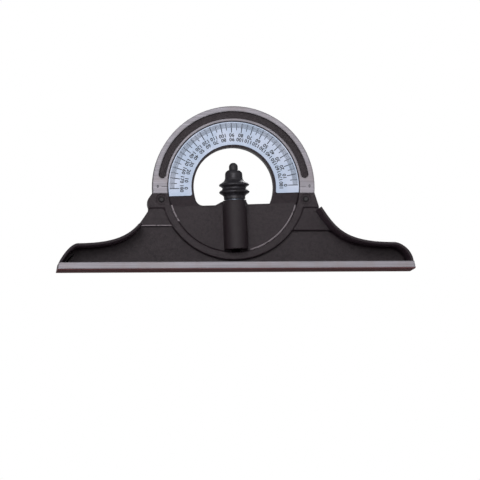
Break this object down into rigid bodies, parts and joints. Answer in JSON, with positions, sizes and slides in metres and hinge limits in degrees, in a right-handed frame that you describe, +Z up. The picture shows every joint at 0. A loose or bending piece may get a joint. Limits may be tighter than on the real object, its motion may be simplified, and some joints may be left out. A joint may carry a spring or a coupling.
{
  "type": "protractor head",
  "caption": "Combination-square protractor head: cast base with raised arch, revolving graduated turret, spring-loaded lock bolt and turret clamps.",
  "frame": {"origin": "middle of the base's underside, halfway between its ends and its front and back edges", "axes": "+X along the base, +Z up through the turret's axis, -Y towards the viewer of the graduated scale"},
  "size_m": [0.1524, 0.0274, 0.071],
  "materials": {
    "wrinkle_black": "black wrinkle enamel over cast iron",
    "satin_scale": "satin chrome",
    "plain_steel": "bright turned",
    "blackened_steel": "black oxide",
    "level_brass": "satin",
    "vial_glass": "clear",
    "level_liquid": "clear tinted liquid"
  },
  "bodies": {
    "frame": {"frame_casting": "wrinkle_black", "retaining_ring": "plain_steel", "retaining_ring_screws": "plain_steel", "ear_screws": "plain_steel"},
    "turret": {"turret_casting": "wrinkle_black", "scale_plate": "satin_scale", "scale_plate_rivets": "plain_steel", "level_saddle": "wrinkle_black", "level_tube": "level_brass", "level_vial": "vial_glass", "level_liquid": "level_liquid", "level_end_plugs": "level_brass", "level_screws": "plain_steel", "lock_washer": "plain_steel", "lock_bolt_spring": "plain_steel", "clamp_stud_left": "plain_steel", "clamp_stud_right": "plain_steel"},
    "lock_bolt": {"lock_bolt": "blackened_steel"},
    "lock_nut": {"lock_nut": "blackened_steel"},
    "clamp_shoe_left": {"clamp_shoe_left": "blackened_steel", "clamp_washer_left": "plain_steel"},
    "clamp_shoe_right": {"clamp_shoe_right": "blackened_steel", "clamp_washer_right": "plain_steel"},
    "clamp_nut_left": {"clamp_nut_left": "blackened_steel"},
    "clamp_nut_right": {"clamp_nut_right": "blackened_steel"}
  },
  "joints": [
    {"name": "turret_turn", "type": "hinge", "parent": "frame", "child": "turret", "pos_m": [0, 0, 0.0362], "axis": [0, -1, 0], "continuous": true},
    {"name": "lock_nut_spin", "type": "hinge", "parent": "turret", "child": "lock_nut", "pos_m": [0, 0.002, 0.0362], "axis": [-0.0279, 0, 0.9996], "range_deg": [0, 540]},
    {"name": "lock_bolt_slide", "type": "slide", "parent": "turret", "child": "lock_bolt", "axis": [-0.0279, 0, 0.9996], "range_m": [-0.00105, 0], "deforming": ["lock_bolt_spring"]},
    {"name": "clamp_shoe_left_slide", "type": "slide", "parent": "turret", "child": "clamp_shoe_left", "axis": [0, 1, 0], "range_m": [0, 0.0005]},
    {"name": "clamp_shoe_right_slide", "type": "slide", "parent": "turret", "child": "clamp_shoe_right", "axis": [0, 1, 0], "range_m": [0, 0.0005]},
    {"name": "clamp_nut_left_spin", "type": "hinge", "parent": "clamp_shoe_left", "child": "clamp_nut_left", "pos_m": [-0.01826, 0.012, 0.05067], "axis": [0, 1, 0], "range_deg": [0, 360]},
    {"name": "clamp_nut_right_spin", "type": "hinge", "parent": "clamp_shoe_right", "child": "clamp_nut_right", "pos_m": [0.01742, 0.012, 0.05167], "axis": [0, 1, 0], "range_deg": [0, 360]}
  ],
  "couplings": [
    {"joint": "lock_nut_spin", "follows": "lock_bolt_slide", "rad_per_m": -8975.9},
    {"joint": "clamp_nut_left_spin", "follows": "clamp_shoe_left_slide", "rad_per_m": 12566},
    {"joint": "clamp_nut_right_spin", "follows": "clamp_shoe_right_slide", "rad_per_m": 12566}
  ]
}
